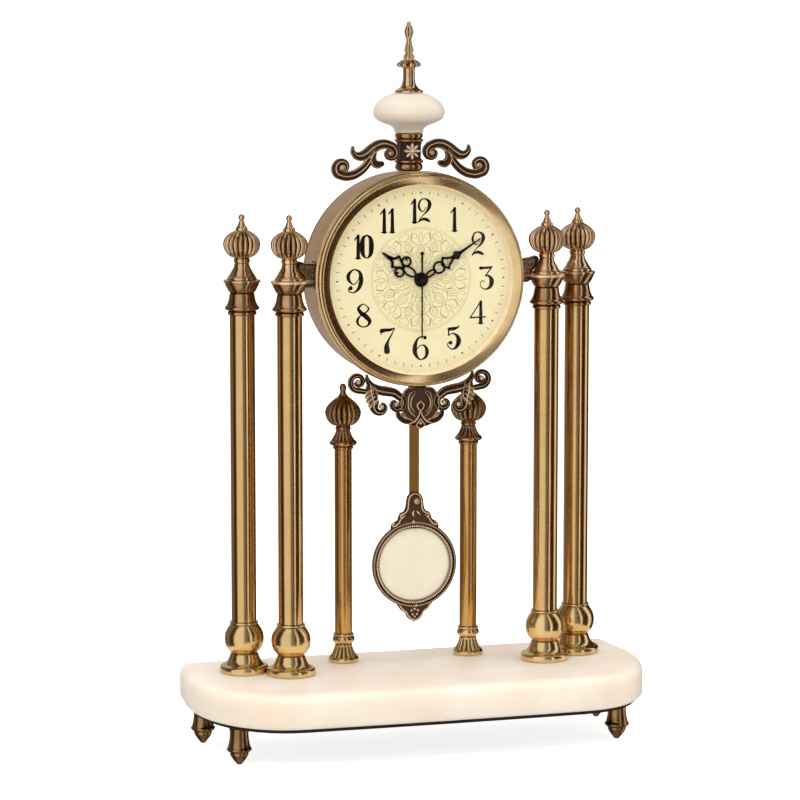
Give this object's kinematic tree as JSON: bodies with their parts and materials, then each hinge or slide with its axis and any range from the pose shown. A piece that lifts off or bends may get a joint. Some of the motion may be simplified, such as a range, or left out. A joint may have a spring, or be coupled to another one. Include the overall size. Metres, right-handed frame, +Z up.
{
  "type": "pillar table clock",
  "caption": "Analogue table clock: drum case between turned brass columns on a marble base, with a disc pendulum below the dial.",
  "frame": {"origin": "on the ground, in the middle of the marble base, under the bounding box's centre", "axes": "+Z up along the columns, +Y to the back, +X to the right of the dial as a reader sees it"},
  "size_m": [0.396, 0.1595, 0.6095],
  "materials": {
    "marble": "polished, with faint grey veins",
    "underboard": "matt dark stain",
    "foot_brass": "satin, lacquered",
    "light_brass": "polished, antiqued",
    "brushed_brass": "brushed along its length",
    "finial_brass": "cast, dark in the grooves",
    "antique_brass": "brushed, antiqued",
    "bezel_brass": "turned, antiqued",
    "cast_bronze": "cast, dark patina with bright edges",
    "pendulum_brass": "satin",
    "rod_steel": "zinc plated",
    "cream_dial": "satin, printed",
    "dial_glass": "clear, domed",
    "black_enamel": "satin black",
    "movement_plastic": "moulded",
    "battery_sleeve": "plain sleeve"
  },
  "bodies": {
    "root": {"marble_base": "marble", "base_underboard": "underboard", "foot_front_left": "foot_brass", "foot_front_right": "foot_brass", "foot_back_left": "foot_brass", "foot_back_right": "foot_brass", "column_outer_left_foot": "light_brass", "column_outer_left_tube": "brushed_brass", "column_outer_left_capital": "brushed_brass", "column_outer_left_finial": "finial_brass", "column_outer_left_tie_rod": "rod_steel", "column_inner_left_foot": "light_brass", "column_inner_left_tube": "brushed_brass", "column_inner_left_capital": "brushed_brass", "column_inner_left_finial": "finial_brass", "column_inner_left_tie_rod": "rod_steel", "column_inner_right_foot": "light_brass", "column_inner_right_tube": "brushed_brass", "column_inner_right_capital": "brushed_brass", "column_inner_right_finial": "finial_brass", "column_inner_right_tie_rod": "rod_steel", "column_outer_right_foot": "light_brass", "column_outer_right_tube": "brushed_brass", "column_outer_right_capital": "brushed_brass", "column_outer_right_finial": "finial_brass", "column_outer_right_tie_rod": "rod_steel", "column_small_left_foot": "light_brass", "column_small_left_tube": "brushed_brass", "column_small_left_capital": "brushed_brass", "column_small_left_finial": "finial_brass", "column_small_left_tie_rod": "rod_steel", "column_small_right_foot": "light_brass", "column_small_right_tube": "brushed_brass", "column_small_right_capital": "brushed_brass", "column_small_right_finial": "finial_brass", "column_small_right_tie_rod": "rod_steel", "case_drum": "antique_brass", "bezel": "bezel_brass", "glass": "dial_glass", "sight_ring": "antique_brass", "dial": "cream_dial", "rear_cover": "antique_brass", "movement": "movement_plastic", "battery": "battery_sleeve", "side_bracket_left": "cast_bronze", "side_bracket_right": "cast_bronze", "crest_block": "cast_bronze", "crest_scroll_left": "cast_bronze", "crest_scroll_right": "cast_bronze", "marble_ball": "marble", "finial_stem": "finial_brass", "finial_spire": "finial_brass", "lower_ornament": "cast_bronze"},
    "minute": {"minute_hand": "black_enamel"},
    "hour": {"hour_hand": "black_enamel"},
    "second": {"second_hand": "black_enamel"},
    "knob": {"set_knob": "movement_plastic"},
    "pendulum": {"pendulum_rod": "pendulum_brass", "bob_frame": "cast_bronze", "bob_disc": "cream_dial"}
  },
  "joints": [
    {"name": "minute_turn", "type": "hinge", "parent": "root", "child": "minute", "pos_m": [0, 0.0053, 0.3957], "axis": [0, 1, 0], "continuous": true},
    {"name": "hour_turn", "type": "hinge", "parent": "root", "child": "hour", "pos_m": [0, 0.0066, 0.3957], "axis": [0, 1, 0], "continuous": true},
    {"name": "second_turn", "type": "hinge", "parent": "root", "child": "second", "pos_m": [0, 0.0034, 0.3957], "axis": [0, 1, 0], "continuous": true},
    {"name": "set_knob_turn", "type": "hinge", "parent": "root", "child": "knob", "pos_m": [0, 0.028, 0.3957], "axis": [0, 1, 0], "continuous": true},
    {"name": "pendulum_swing", "type": "hinge", "parent": "root", "child": "pendulum", "pos_m": [0, 0.0268, 0.3737], "axis": [0, 1, 0], "range_deg": [-7, 7]}
  ],
  "couplings": [
    {"joint": "hour_turn", "follows": "minute_turn", "ratio": 0.083333},
    {"joint": "set_knob_turn", "follows": "minute_turn", "ratio": 1}
  ]
}
